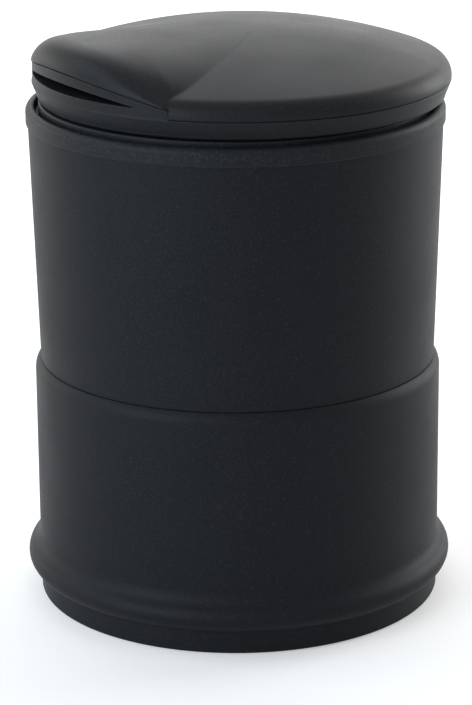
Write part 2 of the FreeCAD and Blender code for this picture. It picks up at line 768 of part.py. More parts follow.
def make_lid_seal():
    """Silicone ring in a groove of the lid, centred on the cup and just above the liner's rim."""
    body = new_body("lid_seal")
    low, high = "lid_bottom - seal_proud", "lid_bottom + seal_recess"
    revolve(body, [("seal_inner", low), ("seal_outer", low), ("seal_outer", high), ("seal_inner", high)])
    return body


def make_screws(label, axis, circle, seat, length):
    """Pan-head screws on a circle, pointing up from their seat."""
    screws = []
    for index in range(SCREW_COUNT):
        angle = 2 * math.pi * index / SCREW_COUNT
        x = f"({axis}) + {circle} * ({math.cos(angle):.6f})"
        y = f"{circle} * ({math.sin(angle):.6f})"
        body = new_body(f"{label}_{index + 1}", x=x, y=y, z=seat)
        revolve(body, [
            ("0", "-screw_head_height"),
            ("screw_head_radius", "-screw_head_height"),
            ("screw_head_radius", "0"),
            ("screw_radius", "0"),
            ("screw_radius", length),
            ("0", length),
        ])
        screws.append(body)
    return screws


def check_document():
    """Stop if any object failed or any shape is empty or broken."""
    DOC.recompute()
    for item in DOC.Objects:
        if any(flag in item.State for flag in ("Invalid", "Error")):
            raise RuntimeError(f"{item.Name} failed: {item.State}")


def write_steps(pieces):
    """Write one STEP file for each sub-part, named after its label."""
    for piece in pieces:
        if piece.Shape.isNull() or not piece.Shape.isValid():
            raise RuntimeError(f"{piece.Label} has no valid shape")
    os.makedirs("parts", exist_ok=True)
    for piece in pieces:
        piece.Shape.exportStep(f"parts/{piece.Label}.step")
        print(f"{piece.Label}: {len(piece.Shape.Solids)} solid, {piece.Shape.Volume:.1f} mm3")


fill_sheet()
PIECES = [
    make_foot_pad(),
    make_foot(),
    make_lower_sleeve(),
    make_outer_cup(),
    make_rim_ring(),
    make_collar(),
    make_hinge_pin(),
    make_liner(),
    make_stub_bridge(),
    make_lid_base(),
    make_lid_cover(),
    make_heat_shield(),
    make_lid_seal(),
]
PIECES += make_screws("foot_screw", "0", "foot_screw_circle", "pad_proud + foot_screw_sink",
                      "foot_screw_length")
PIECES += make_screws("lid_screw", "lid_offset", "lid_screw_circle",
                      "lid_bottom + shield_recess - shield_sheet", "lid_screw_length")
check_document()
write_steps(PIECES)
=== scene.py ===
"""Looks of a cup-holder car ashtray.

The file holds the finishes, the softly moulded lid, the soft studio light and the camera.
"""

import logging
import math
from dataclasses import dataclass
from enum import Enum

import bpy
from mathutils import Matrix, Vector


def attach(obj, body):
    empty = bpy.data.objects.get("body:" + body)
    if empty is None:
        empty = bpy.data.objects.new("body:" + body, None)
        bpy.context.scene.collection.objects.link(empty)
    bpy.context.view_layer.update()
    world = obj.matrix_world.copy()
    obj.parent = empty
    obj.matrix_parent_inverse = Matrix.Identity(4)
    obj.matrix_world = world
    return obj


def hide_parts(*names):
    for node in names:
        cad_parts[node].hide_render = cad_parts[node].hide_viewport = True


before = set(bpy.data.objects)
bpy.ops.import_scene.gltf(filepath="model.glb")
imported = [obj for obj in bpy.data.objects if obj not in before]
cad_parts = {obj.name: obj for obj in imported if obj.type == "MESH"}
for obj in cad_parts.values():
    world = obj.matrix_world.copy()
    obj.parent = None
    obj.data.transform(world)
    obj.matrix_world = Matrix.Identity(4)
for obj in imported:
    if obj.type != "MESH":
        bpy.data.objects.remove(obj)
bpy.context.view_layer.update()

MM = 0.001
LOG = logging.getLogger("ashtray")

Colour = tuple[float, float, float]
Point = tuple[float, float, float]
Range = tuple[float, float]
Face = tuple[int, ...]
Socket = bpy.types.NodeSocket
Tree = bpy.types.NodeTree

WHITE: Colour = (1.0, 1.0, 1.0)
OPAQUE = 1.0
ALL_METAL = 1.0
FULL: Range = (0.0, 1.0)
NOISE_CORE: Range = (0.3, 0.7)
EDGE_TURN: Range = (0.99, 0.86)
EDGE_SAMPLES = 6
MIX_SHARE, MIX_FIRST, MIX_SECOND, MIX_RESULT = 0, 6, 7, 2
HALF_TURN = 180.0
ROUNDING = 1e-6


class ShaderInput(str, Enum):
    """Inputs of the principled shader that the finishes use."""

    COLOUR = "Base Color"
    METALLIC = "Metallic"
    ROUGHNESS = "Roughness"
    NORMAL = "Normal"
    SPECULAR = "Specular IOR Level"
    GLOW_COLOUR = "Emission Color"
    GLOW_STRENGTH = "Emission Strength"


@dataclass(frozen=True)
class Mottle:
    """Soft noise over a surface.

    Attributes:
        size_mm: Width of one blotch in millimetres.
        detail: Octaves of finer noise on top.
        stretch: Factor on the coordinates along x, y and z, or none.
    """

    size_mm: float
    detail: float
    stretch: Point | None = None


@dataclass(frozen=True)
class Relief:
    """Fine relief on a surface: its depth in millimetres and the share of it that shows."""

    depth_mm: float
    strength: float


def added(tree: Tree, first: Socket, second: Socket) -> Socket:
    """Add two values.

    Args:
        tree: Node tree of a material or of the world.
        first: One value.
        second: The other value.

    Returns:
        Their sum.
    """
    node = tree.nodes.new("ShaderNodeMath")
    node.operation = "ADD"
    tree.links.new(first, node.inputs[0])
    tree.links.new(second, node.inputs[1])
    return node.outputs[0]


def spanned(tree: Tree, value: Socket, source: Range, target: Range) -> Socket:
    """Map a range of a value to another range, held at its ends.

    Args:
        tree: Node tree of a material or of the world.
        value: Value to map.
        source: Values that give the two ends of the target.
        target: Results at those two values.

    Returns:
        The mapped value.
    """
    node = tree.nodes.new("ShaderNodeMapRange")
    names = ("From Min", "From Max", "To Min", "To Max")
    for name, number in zip(names, (*source, *target)):
        node.inputs[name].default_value = number
    tree.links.new(value, node.inputs["Value"])
    return node.outputs["Result"]


def seen_share(tree: Tree) -> Socket:
    """Tell the rays that show a background from those that only light the object.

    Args:
        tree: Node tree of the floor or of the world.

    Returns:
        A value of 1 for the camera's own rays and for those it sees mirrored or through glass,
        and of 0 for all others.
    """
    path = tree.nodes.new("ShaderNodeLightPath")
    share = path.outputs["Is Camera Ray"]
    for name in ("Is Glossy Ray", "Is Transmission Ray"):
        share = added(tree, share, path.outputs[name])
    return share


class FinishGraph:
    """Node graph of one finish, with short calls for the nodes that the finishes share."""

    def __init__(self, name: str) -> None:
        """Start a material that holds nothing but a principled shader and its output.

        Args:
            name: Name of the material.
        """
        self.material = bpy.data.materials.new(name)
        self.material.use_nodes = True
        self.tree = self.material.node_tree
        self.shader = self.tree.nodes["Principled BSDF"]
        self.place = self.tree.nodes.new("ShaderNodeTexCoord").outputs["Object"]

    def link(self, source: Socket, target: Socket) -> None:
        """Join two sockets."""
        self.tree.links.new(source, target)

    def feed(self, source: Socket, target: ShaderInput) -> None:
        """Lead a socket into an input of the shader."""
        self.link(source, self.shader.inputs[target.value])

    def fix(self, target: ShaderInput, value: float | tuple[float, ...]) -> None:
        """Set an input of the shader to a value that is the same all over the surface."""
        self.shader.inputs[target.value].default_value = value

    def stretched(self, scale: Point) -> Socket:
        """Give the object coordinates scaled along each axis.

        Args:
            scale: Factor along x, y and z.

        Returns:
            The scaled coordinates.
        """
        mapping = self.tree.nodes.new("ShaderNodeMapping")
        mapping.inputs["Scale"].default_value = scale
        self.link(self.place, mapping.inputs["Vector"])
        return mapping.outputs["Vector"]

    def noise(self, mottle: Mottle) -> Socket:
        """Add soft noise.

        Args:
            mottle: Size, detail and stretch of the noise.

        Returns:
            The noise value, from 0 to 1.
        """
        node = self.tree.nodes.new("ShaderNodeTexNoise")
        node.inputs["Scale"].default_value = 1.0 / (mottle.size_mm * MM)
        node.inputs["Detail"].default_value = mottle.detail
        place = self.stretched(mottle.stretch) if mottle.stretch else self.place
        self.link(place, node.inputs["Vector"])
        return node.outputs["Fac"]

    def span(self, value: Socket, source: Range, target: Range) -> Socket:
        """Map a range of a value to another range, held at its ends."""
        return spanned(self.tree, value, source, target)

    def blend(self, share: Socket, first: Socket | Colour, second: Socket | Colour) -> Socket:
        """Blend two colours.

        Args:
            share: How much of the second colour shows.
            first: Colour or socket shown at 0.
            second: Colour or socket shown at 1.

        Returns:
            The blended colour.
        """
        node = self.tree.nodes.new("ShaderNodeMix")
        node.data_type = "RGBA"
        self.link(share, node.inputs[MIX_SHARE])
        for number, tone in ((MIX_FIRST, first), (MIX_SECOND, second)):
            if isinstance(tone, tuple):
                node.inputs[number].default_value = (*tone, OPAQUE)
            else:
                self.link(tone, node.inputs[number])
        return node.outputs[MIX_RESULT]

    def eased_edges(self, radius_mm: float) -> Socket:
        """Round the edges in the shading.

        Args:
            radius_mm: Radius of the eased edge in millimetres.

        Returns:
            The eased normal.
        """
        bevel = self.tree.nodes.new("ShaderNodeBevel")
        bevel.samples = EDGE_SAMPLES
        bevel.inputs["Radius"].default_value = radius_mm * MM
        return bevel.outputs["Normal"]

    def edge_share(self, eased: Socket) -> Socket:
        """Find the edges, where the eased normal turns away from the surface's own.

        Args:
            eased: Eased normal.

        Returns:
            A value that goes from 0 on open faces to 1 at the edges.
        """
        own = self.tree.nodes.new("ShaderNodeNewGeometry").outputs["Normal"]
        node = self.tree.nodes.new("ShaderNodeVectorMath")
        node.operation = "DOT_PRODUCT"
        self.link(eased, node.inputs[0])
        self.link(own, node.inputs[1])
        return self.span(node.outputs["Value"], EDGE_TURN, FULL)

    def relief(self, height: Socket, relief: Relief, normal: Socket | None = None) -> Socket:
        """Turn a value into fine relief.

        Args:
            height: Height of the relief, from 0 to 1.
            relief: Depth and strength of the relief.
            normal: Normal under the relief, the surface's own where none is given.

        Returns:
            The normal with the relief.
        """
        node = self.tree.nodes.new("ShaderNodeBump")
        node.inputs["Strength"].default_value = relief.strength
        node.inputs["Distance"].default_value = relief.depth_mm * MM
        self.link(height, node.inputs["Height"])
        if normal is not None:
            self.link(normal, node.inputs["Normal"])
        return node.outputs["Normal"]


@dataclass(frozen=True)
class MouldedPlastic:
    """Dark moulded plastic with a spark-eroded grain, paler specks and a paler tint on every edge.

    Attributes:
        name: Name of the material.
        colour: Colour of the plastic.
        cloud: Colour of its paler clouds.
        pale_mark: Colour of the paler specks and of the paler tint on the edges.
        grain: Noise of the grain.
        grain_relief: Relief of the grain.
        roughness: Roughness, which follows the clouds.
        clouds: Noise of the clouds.
        cloud_core: Noise values between which the clouds come in.
        speck_core: Grain values between which the rubbed specks come in.
        speck_share: How much of the paler colour the specks show.
        pale_edge_share: How much of the paler colour every edge shows, convex and concave alike.
        grain_sheen: What the grain adds to the roughness.
        edge_mm: Radius of the eased edges in millimetres.
        specular: Strength of the mirrored light.
    """

    name: str
    colour: Colour
    cloud: Colour
    pale_mark: Colour
    grain: Mottle
    grain_relief: Relief
    roughness: Range
    clouds: Mottle = Mottle(size_mm=14.0, detail=4.0)
    cloud_core: Range = (0.35, 0.68)
    speck_core: Range = (0.52, 0.75)
    speck_share: Range = (0.0, 0.5)
    pale_edge_share: Range = (0.0, 0.6)
    grain_sheen: Range = (-0.05, 0.05)
    edge_mm: float = 0.25
    specular: float = 0.12

    def build(self) -> bpy.types.Material:
        """Make the material.

        Returns:
            The finished material.
        """
        graph = FinishGraph(self.name)
        clouds = graph.noise(self.clouds)
        grain = graph.noise(self.grain)
        eased = graph.eased_edges(self.edge_mm)
        cloudy = graph.span(clouds, self.cloud_core, FULL)
        tone = graph.blend(cloudy, self.colour, self.cloud)
        specks = graph.span(grain, self.speck_core, self.speck_share)
        speckled = graph.blend(specks, tone, self.pale_mark)
        # Every edge, convex and concave alike, is tinted towards the paler colour where the eased
        # normal turns.
        pale_edges = graph.span(graph.edge_share(eased), FULL, self.pale_edge_share)
        graph.feed(graph.blend(pale_edges, speckled, self.pale_mark), ShaderInput.COLOUR)
        sheen = graph.span(clouds, NOISE_CORE, self.roughness)
        fine = graph.span(grain, NOISE_CORE, self.grain_sheen)
        graph.feed(added(graph.tree, sheen, fine), ShaderInput.ROUGHNESS)
        graph.feed(graph.relief(grain, self.grain_relief, eased), ShaderInput.NORMAL)
        graph.fix(ShaderInput.SPECULAR, self.specular)
        return graph.material


@dataclass(frozen=True)
class DrawnSteel:
    """Deep-drawn stainless sheet with drawing lines along the wall and faint rubbing.

    Attributes:
        name: Name of the material.
        colour: Colour of the steel.
        dull: Colour where it is dulled.
        lines: Noise of the drawing lines.
        clouds: Noise of the dull places.
        dull_core: Noise values between which the dull places come in.
        dull_share: How much of the dull colour they show.
        line_roughness: Roughness, which follows the drawing lines.
        cloud_roughness: What the dull places add to it.
        line_relief: Relief of the drawing lines.
        edge_mm: Radius of the eased edges in millimetres.
    """

    name: str
    colour: Colour
    dull: Colour
    lines: Mottle = Mottle(size_mm=0.35, detail=3.0, stretch=(1.0, 1.0, 0.04))
    clouds: Mottle = Mottle(size_mm=9.0, detail=4.0)
    dull_core: Range = (0.35, 0.7)
    dull_share: Range = (0.0, 0.6)
    line_roughness: Range = (0.36, 0.48)
    cloud_roughness: Range = (0.0, 0.08)
    line_relief: Relief = Relief(depth_mm=0.004, strength=0.25)
    edge_mm: float = 0.15

    def build(self) -> bpy.types.Material:
        """Make the material.

        Returns:
            The finished material.
        """
        graph = FinishGraph(self.name)
        lines = graph.noise(self.lines)
        clouds = graph.noise(self.clouds)
        dulled = graph.span(clouds, self.dull_core, self.dull_share)
        graph.feed(graph.blend(dulled, self.colour, self.dull), ShaderInput.COLOUR)
        along = graph.span(lines, NOISE_CORE, self.line_roughness)
        over = graph.span(clouds, NOISE_CORE, self.cloud_roughness)
        graph.feed(added(graph.tree, along, over), ShaderInput.ROUGHNESS)
        eased = graph.eased_edges(self.edge_mm)
        graph.feed(graph.relief(lines, self.line_relief, eased), ShaderInput.NORMAL)
        graph.fix(ShaderInput.METALLIC, ALL_METAL)
        return graph.material


@dataclass(frozen=True)
class PlatedSteel:
    """Zinc-plated steel with a fine crystalline mottle and a paler tint on every edge.

    Attributes:
        name: Name of the material.
        colour: Colour of the plating.
        pale_mark: Colour of the paler crystals and of the paler tint on the edges.
        crystals: Noise of the crystals.
        crystal_core: Noise values between which the rubbed crystals come in.
        crystal_share: How much of the paler colour they show.
        roughness: Roughness, which follows the crystals.
        crystal_relief: Relief of the crystals.
        edge_mm: Radius of the eased edges in millimetres.
    """

    name: str
    colour: Colour
    pale_mark: Colour
    crystals: Mottle = Mottle(size_mm=0.5, detail=4.0)
    crystal_core: Range = (0.35, 0.7)
    crystal_share: Range = (0.0, 0.4)
    roughness: Range = (0.26, 0.42)
    crystal_relief: Relief = Relief(depth_mm=0.004, strength=0.5)
    edge_mm: float = 0.12

    def build(self) -> bpy.types.Material:
        """Make the material.

        Returns:
            The finished material.
        """
        graph = FinishGraph(self.name)
        crystals = graph.noise(self.crystals)
        eased = graph.eased_edges(self.edge_mm)
        bright = graph.span(crystals, self.crystal_core, self.crystal_share)
        tone = graph.blend(bright, self.colour, self.pale_mark)
        # Every edge, convex and concave alike, is tinted fully to the paler colour where the eased
        # normal turns.
        graph.feed(graph.blend(graph.edge_share(eased), tone, self.pale_mark), ShaderInput.COLOUR)
        graph.feed(graph.span(crystals, NOISE_CORE, self.roughness), ShaderInput.ROUGHNESS)
        graph.feed(graph.relief(crystals, self.crystal_relief, eased), ShaderInput.NORMAL)
        graph.fix(ShaderInput.METALLIC, ALL_METAL)
        return graph.material


@dataclass(frozen=True)
class Rubber:
    """Matt rubber with a dusty bloom.

    Attributes:
        name: Name of the material.
        colour: Colour of the rubber.
        bloom: Colour of the bloom.
        dust: Noise of the bloom.
        pores: Noise of the pores.
        bloom_core: Noise values between which the bloom comes in.
        bloom_share: How much of its colour it shows.
        roughness: Roughness, which follows the bloom.
        pore_relief: Relief of the pores.
        edge_mm: Radius of the eased edges in millimetres.
        specular: Strength of the mirrored light.
    """

    name: str
    colour: Colour
    bloom: Colour
    dust: Mottle = Mottle(size_mm=3.0, detail=5.0)
    pores: Mottle = Mottle(size_mm=0.2, detail=2.0)
    bloom_core: Range = (0.45, 0.75)
    bloom_share: Range = (0.0, 0.7)
    roughness: Range = (0.72, 0.9)
    pore_relief: Relief = Relief(depth_mm=0.02, strength=0.6)
    edge_mm: float = 0.2
    specular: float = 0.35

    def build(self) -> bpy.types.Material:
        """Make the material.

        Returns:
            The finished material.
        """
        graph = FinishGraph(self.name)
        dust = graph.noise(self.dust)
        pores = graph.noise(self.pores)
        bloomed = graph.span(dust, self.bloom_core, self.bloom_share)
        graph.feed(graph.blend(bloomed, self.colour, self.bloom), ShaderInput.COLOUR)
        graph.feed(graph.span(dust, NOISE_CORE, self.roughness), ShaderInput.ROUGHNESS)
        eased = graph.eased_edges(self.edge_mm)
        graph.feed(graph.relief(pores, self.pore_relief, eased), ShaderInput.NORMAL)
        graph.fix(ShaderInput.SPECULAR, self.specular)
        return graph.material


@dataclass(frozen=True)
class PaleFloor:
    """White paper floor, which the camera sees as white wherever it is lit in full.

    Attributes:
        name: Name of the material.
        colour: Colour of the paper.
        paler: Factor on that colour along the fibres.
        lift: Glow that lifts the paper to white where it is seen.
        fibre: Noise of the fibres.
        fibre_relief: Relief of the fibres.
        roughness: Roughness of the paper.
        specular: Strength of the mirrored light.
    """

    name: str = "pale_floor"
    colour: Colour = (0.82, 0.82, 0.82)
    paler: float = 1.02
    lift: float = 0.35
    fibre: Mottle = Mottle(size_mm=2.5, detail=5.0)
    fibre_relief: Relief = Relief(depth_mm=0.02, strength=0.3)
    roughness: float = 0.9
    specular: float = 0.1

    def build(self) -> bpy.types.Material:
        """Make the material.

        Returns:
            The finished material.
        """
        graph = FinishGraph(self.name)
        fibre = graph.noise(self.fibre)
        pale = tuple(part * self.paler for part in self.colour)
        graph.feed(graph.blend(fibre, self.colour, pale), ShaderInput.COLOUR)
        graph.feed(graph.relief(fibre, self.fibre_relief), ShaderInput.NORMAL)
        graph.fix(ShaderInput.ROUGHNESS, self.roughness)
        graph.fix(ShaderInput.SPECULAR, self.specular)
        graph.fix(ShaderInput.GLOW_COLOUR, (*WHITE, OPAQUE))
        glow = graph.span(seen_share(graph.tree), FULL, (0.0, self.lift))
        graph.feed(glow, ShaderInput.GLOW_STRENGTH)
        return graph.material


CUP_PLASTIC = MouldedPlastic(
    name="cup_grained_plastic",
    colour=(0.0050, 0.0062, 0.0086),
    cloud=(0.0062, 0.0074, 0.0098),
    pale_mark=(0.030, 0.033, 0.037),
    grain=Mottle(size_mm=0.30, detail=2.0),
    grain_relief=Relief(depth_mm=0.020, strength=0.7),
    roughness=(0.50, 0.58),
)
RIM_PLASTIC = MouldedPlastic(
    name="rim_coarse_plastic",
    colour=(0.0080, 0.0096, 0.0122),
    cloud=(0.0110, 0.0126, 0.0150),
    pale_mark=(0.046, 0.049, 0.053),
    grain=Mottle(size_mm=0.38, detail=2.0),
    grain_relief=Relief(depth_mm=0.060, strength=0.7),
    roughness=(0.46, 0.56),
)
LID_PLASTIC = MouldedPlastic(
    name="lid_satin_plastic",
    colour=(0.0075, 0.0086, 0.0105),
    cloud=(0.0092, 0.0103, 0.0120),
    pale_mark=(0.032, 0.034, 0.036),
    grain=Mottle(size_mm=0.26, detail=2.0),
    grain_relief=Relief(depth_mm=0.014, strength=0.7),
    roughness=(0.42, 0.50),
)
DRAWN_STEEL = DrawnSteel(
    name="drawn_liner_steel",
    colour=(0.56, 0.57, 0.58),
    dull=(0.42, 0.43, 0.44),
)
PLATED_STEEL = PlatedSteel(
    name="zinc_plated_steel",
    colour=(0.42, 0.44, 0.46),
    pale_mark=(0.62, 0.63, 0.64),
)
SOFT_RUBBER = Rubber(
    name="foot_and_seal_rubber",
    colour=(0.016, 0.016, 0.017),
    bloom=(0.04, 0.04, 0.04),
)


def dress(material: bpy.types.Material, *nodes: str) -> None:
    """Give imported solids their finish.

    Args:
        material: Finish to show on them.
        nodes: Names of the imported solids.
    """
    for node in nodes:
        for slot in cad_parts[node].material_slots:
            slot.material = material
        LOG.info("%s dressed in %s", node, material.name)


def numbered(name: str, count: int) -> list[str]:
    """Names of like pieces, numbered from 1."""
    return [f"{name}_{number}" for number in range(1, count + 1)]


def add_piece(name: str, points: list[Point], faces: list[Face]) -> bpy.types.Object:
    """Make a smooth-shaded mesh piece.

    Args:
        name: Name of the piece.
        points: Its points in metres.
        faces: Its faces by point numbers.

    Returns:
        The new object, linked into the scene.
    """
    mesh = bpy.data.meshes.new(name)
    mesh.from_pydata(points, [], faces)
    mesh.validate()
    for face in mesh.polygons:
        face.use_smooth = True
    piece = bpy.data.objects.new(name, mesh)
    bpy.context.scene.collection.objects.link(piece)
    LOG.info("%s built with %d faces", name, len(faces))
    return piece


def held(value: float) -> float:
    """Hold a value between 0 and 1."""
    return min(1.0, max(0.0, value))


def smooth_step(value: float) -> float:
    """Ease a value from 0 to 1."""
    value = held(value)
    return value * value * (3.0 - 2.0 * value)


def soft_max(first: float, second: float, reach: float) -> float:
    """Take the higher of two heights, filled in where they meet.

    Args:
        first: One height.
        second: The other height.
        reach: Difference in height over which the two run together.

    Returns:
        The higher height, eased up near the meeting line.
    """
    share = held(0.5 + 0.5 * (first - second) / reach)
    return second + (first - second) * share + reach * share * (1.0 - share)


@dataclass
class CupShell:
    """Cup, sleeve and foot: the standing shell of the ashtray."""

    finish: MouldedPlastic = CUP_PLASTIC
    pad: Rubber = SOFT_RUBBER
    screws: PlatedSteel = PLATED_STEEL
    screw_count: int = 3

    def dress(self) -> None:
        """Give the shell, its rubber ring and its screws their finishes."""
        dress(self.finish.build(), "outer_cup", "lower_sleeve", "foot")
        dress(self.pad.build(), "foot_pad")
        dress(self.screws.build(), *numbered("foot_screw", self.screw_count))


@dataclass
class MouthRing:
    """Grained rim band and the collar that carries the hinge pin."""

    finish: MouldedPlastic = RIM_PLASTIC
    pin: PlatedSteel = PLATED_STEEL

    def dress(self) -> None:
        """Give the band, the collar and the pin their finishes."""
        dress(self.finish.build(), "rim_ring", "collar")
        dress(self.pin.build(), "hinge_pin")


@dataclass
class AshLiner:
    """Lift-out steel liner with the bridge for stubbing out."""

    finish: DrawnSteel = DRAWN_STEEL

    def dress(self) -> None:
        """Give the liner and its bridge their finish."""
        dress(self.finish.build(), "liner", "stub_bridge")


@dataclass
class HingedLid:
    """Lid in two halves: a base with the finger scoop, and a domed cover with the raised nose.

    Lengths are in millimetres from the lid's own axis, with u towards the tab and v across it.
    Angles are counted from the tab.

    Attributes:
        finish: Finish of the two halves.
        steel: Finish of the heat shield.
        seal: Finish of the seal.
        screws: Finish of the screws.
        screw_count: How many screws hold the lid together.
        axis_x: Place of the lid's axis along x.
        radius: Outer radius of the cover.
        seam: Height of the seam between the halves.
        skirt: Height of the straight skirt above the seam.
        shoulder: Radius of the rounding from the skirt to the crown.
        crown: Radius of the crown.
        nose_drop: How far the nose's ridge lies below the top of the dome.
        nose_root: Distance from the axis at which the nose starts.
        nose_power: Power of the nose's rounding at its root and at its tip.
        nose_turn: Distances between which that power changes.
        nose_side_fall: Slope of the nose beyond the crease.
        crease_v: Base, slope and bend of the crease's distance from the nose's middle.
        crease_end: Distance from the axis beyond which the crease leaves the dome.
        crease_fall: Slope of the crease from there on.
        crease_ease: Difference in height over which the nose and the dome run together.
        brow_start: Greatest height at which the brow starts at the edge.
        brow_lip: Height of that start above the mouth.
        brow_middle: Length of the brow at the tab.
        brow_corner: Length of the brow at the mouth's corners.
        brow_bulge: Power of the brow's rounding.
        mouth_back: Distance from the axis to the back of the mouth.
        mouth_half: Half of the mouth's width.
        mouth_side: Height of the mouth's arch at its corners.
        mouth_rise: Rise of the arch from there to its middle.
        lip: Size of the small bevel at the cover's lower edge.
        wall: Thickness of the cover.
        tab_sector: Degrees to each side of the tab in which the rays stand close together.
        tab_step: Degrees from ray to ray there.
        back_step: Degrees from ray to ray elsewhere.
        corner_gap: Degrees from each corner of the mouth to the rays on its two sides.
        fine_rim: Width of the outer zone in which the points of a ray stand close together.
        crown_steps: Steps of a ray inside that zone.
        rim_steps: Steps of a ray in that zone.
        reach_steps: Halvings in the search for the edge at the mouth.
        edge_shares: Shares of the way down the cover's edge at which points stand.
        under_shares: Shares of the way in along the lower face.
        inner_shares: Shares of the way out along the inner face, taken from the wall inwards.
    """

    finish: MouldedPlastic = LID_PLASTIC
    steel: DrawnSteel = DRAWN_STEEL
    seal: Rubber = SOFT_RUBBER
    screws: PlatedSteel = PLATED_STEEL
    screw_count: int = 3
    axis_x: float = 1.25
    radius: float = 36.15
    seam: float = 92.65
    skirt: float = 0.3
    shoulder: float = 3.2
    crown: float = 100.0
    nose_drop: float = 0.1
    nose_root: float = 2.0
    nose_power: Range = (2.1, 3.0)
    nose_turn: Range = (12.0, 27.0)
    nose_side_fall: float = 3.0
    crease_v: tuple[float, float, float] = (4.967, 0.9975, -0.01277)
    crease_end: float = 25.8
    crease_fall: float = 0.338
    crease_ease: float = 0.14
    brow_start: float = 95.55
    brow_lip: float = 0.3
    brow_middle: float = 5.2
    brow_corner: float = 5.4
    brow_bulge: float = 2.7
    mouth_back: float = 26.5
    mouth_half: float = 23.0
    mouth_side: float = 94.1
    mouth_rise: float = 3.5
    lip: float = 0.12
    wall: float = 1.8
    tab_sector: float = 75.0
    tab_step: float = 0.35
    back_step: float = 2.0
    corner_gap: float = 0.02
    fine_rim: float = 11.0
    crown_steps: int = 44
    rim_steps: int = 44
    reach_steps: int = 30
    edge_shares: tuple[float, ...] = (0.3, 0.6, 0.85, 1.0)
    under_shares: tuple[float, ...] = (0.2, 0.6, 1.0)
    inner_shares: tuple[float, ...] = (0.998, 0.94, 0.85, 0.7, 0.5, 0.25)

    def __post_init__(self) -> None:
        """Work out the dome, the height of the nose's ridge and the mouth's arch from the sizes."""
        rise = math.sqrt((self.crown - self.shoulder) ** 2 - (self.radius - self.shoulder) ** 2)
        self.shoulder_z: float = self.seam + self.skirt
        self.crown_z: float = self.shoulder_z - rise
        self.apex: float = self.crown_z + self.crown
        share = self.crown / (self.crown - self.shoulder)
        self.shoulder_start: float = (self.radius - self.shoulder) * share
        self.ridge: float = self.apex - self.nose_drop
        span = self.mouth_half**2 + self.mouth_rise**2
        self.mouth_radius: float = span / (2.0 * self.mouth_rise)
        self.mouth_z: float = self.mouth_side + self.mouth_rise - self.mouth_radius

    def dome_z(self, r: float) -> float:
        """Height of the plain turned dome.

        Args:
            r: Distance from the lid axis.

        Returns:
            The height of the crown, or of the shoulder farther out.
        """
        if r < self.shoulder_start:
            return self.crown_z + math.sqrt(self.crown**2 - r**2)
        inset = r - (self.radius - self.shoulder)
        return self.shoulder_z + math.sqrt(max(0.0, self.shoulder**2 - inset**2))

    def crease(self, u: float) -> tuple[float, float]:
        """Find where the nose meets the dome.

        Args:
            u: Distance from the lid axis towards the tab.

        Returns:
            The distance of the crease from the nose's middle, and its height.
        """
        base, slope, bend = self.crease_v
        inner = min(u, self.crease_end)
        v = base + slope * inner + bend * inner**2
        return v, self.dome_z(math.hypot(inner, v)) - self.crease_fall * (u - inner)

    def nose_z(self, u: float, v: float) -> float:
        """Height of the nose, which rounds over to the crease and broadens towards the tab.

        Args:
            u: Distance from the lid axis towards the tab.
            v: Distance from the nose's middle.

        Returns:
            The height of the nose.
        """
        side, low = self.crease(u)
        root, tip = self.nose_power
        start, end = self.nose_turn
        power = root + (tip - root) * smooth_step((u - start) / (end - start))
        inner = min(v, side)
        fall = (self.ridge - low) * (inner / side) ** power
        return self.ridge - fall - self.nose_side_fall * (v - inner)

    def brow_depth(self, angle: float) -> float:
        """Length over which the nose rounds over to the edge, a little longer at the corners."""
        share = smooth_step(abs(self.radius * math.sin(angle)) / self.mouth_half)
        return self.brow_middle + (self.brow_corner - self.brow_middle) * share

    def raised_z(self, r: float, angle: float) -> float:
        """Height of the nose with the brow that rounds it over at the lid's edge.

        Args:
            r: Distance from the lid axis.
            angle: Angle from the tab in radians.

        Returns:
            The height of the nose and its brow.
        """
        foot = min(self.brow_start, self.under_z(self.radius, angle) + self.brow_lip)
        share = held(1.0 - (self.radius - r) / self.brow_depth(angle))
        nose = self.nose_z(r * math.cos(angle), abs(r * math.sin(angle)))
        return foot + (nose - foot) * (1.0 - share**self.brow_bulge) ** (1.0 / self.brow_bulge)

    def top_z(self, r: float, angle: float) -> float:
        """Height of the cover's outer face.

        Args:
            r: Distance from the lid axis.
            angle: Angle from the tab in radians.

        Returns:
            The height, with the nose where it stands above the dome.
        """
        dome = self.dome_z(r)
        if r * math.cos(angle) < self.nose_root:
            return dome
        return soft_max(dome, self.raised_z(r, angle), self.crease_ease)

    def opens(self, angle: float) -> bool:
        """Tell whether a ray runs out through the mouth under the nose."""
        return math.cos(angle) > 0.0 and abs(self.radius * math.sin(angle)) < self.mouth_half

    def under_z(self, r: float, angle: float) -> float:
        """Height of the cover's lower face.

        Args:
            r: Distance from the lid axis.
            angle: Angle from the tab in radians.

        Returns:
            The height of the mouth's arch at the tab, and of the seam elsewhere.
        """
        if not self.opens(angle):
            return self.seam
        return self.mouth_z + math.sqrt(self.mouth_radius**2 - (r * math.sin(angle)) ** 2)

    def stands(self, r: float, angle: float) -> bool:
        """Tell whether the outer face is still above the lower face and its bevel."""
        return self.top_z(r, angle) >= self.under_z(r, angle) + self.lip

    def reach(self, angle: float) -> float:
        """Radius at which the outer face ends, less than the lid's where the mouth cuts the brow.

        Args:
            angle: Angle from the tab in radians.

        Returns:
            The radius in millimetres.
        """
        if self.stands(self.radius, angle):
            return self.radius
        inner, outer = self.radius - self.brow_middle, self.radius
        for _ in range(self.reach_steps):
            middle = 0.5 * (inner + outer)
            if self.stands(middle, angle):
                inner = middle
            else:
                outer = middle
        return inner

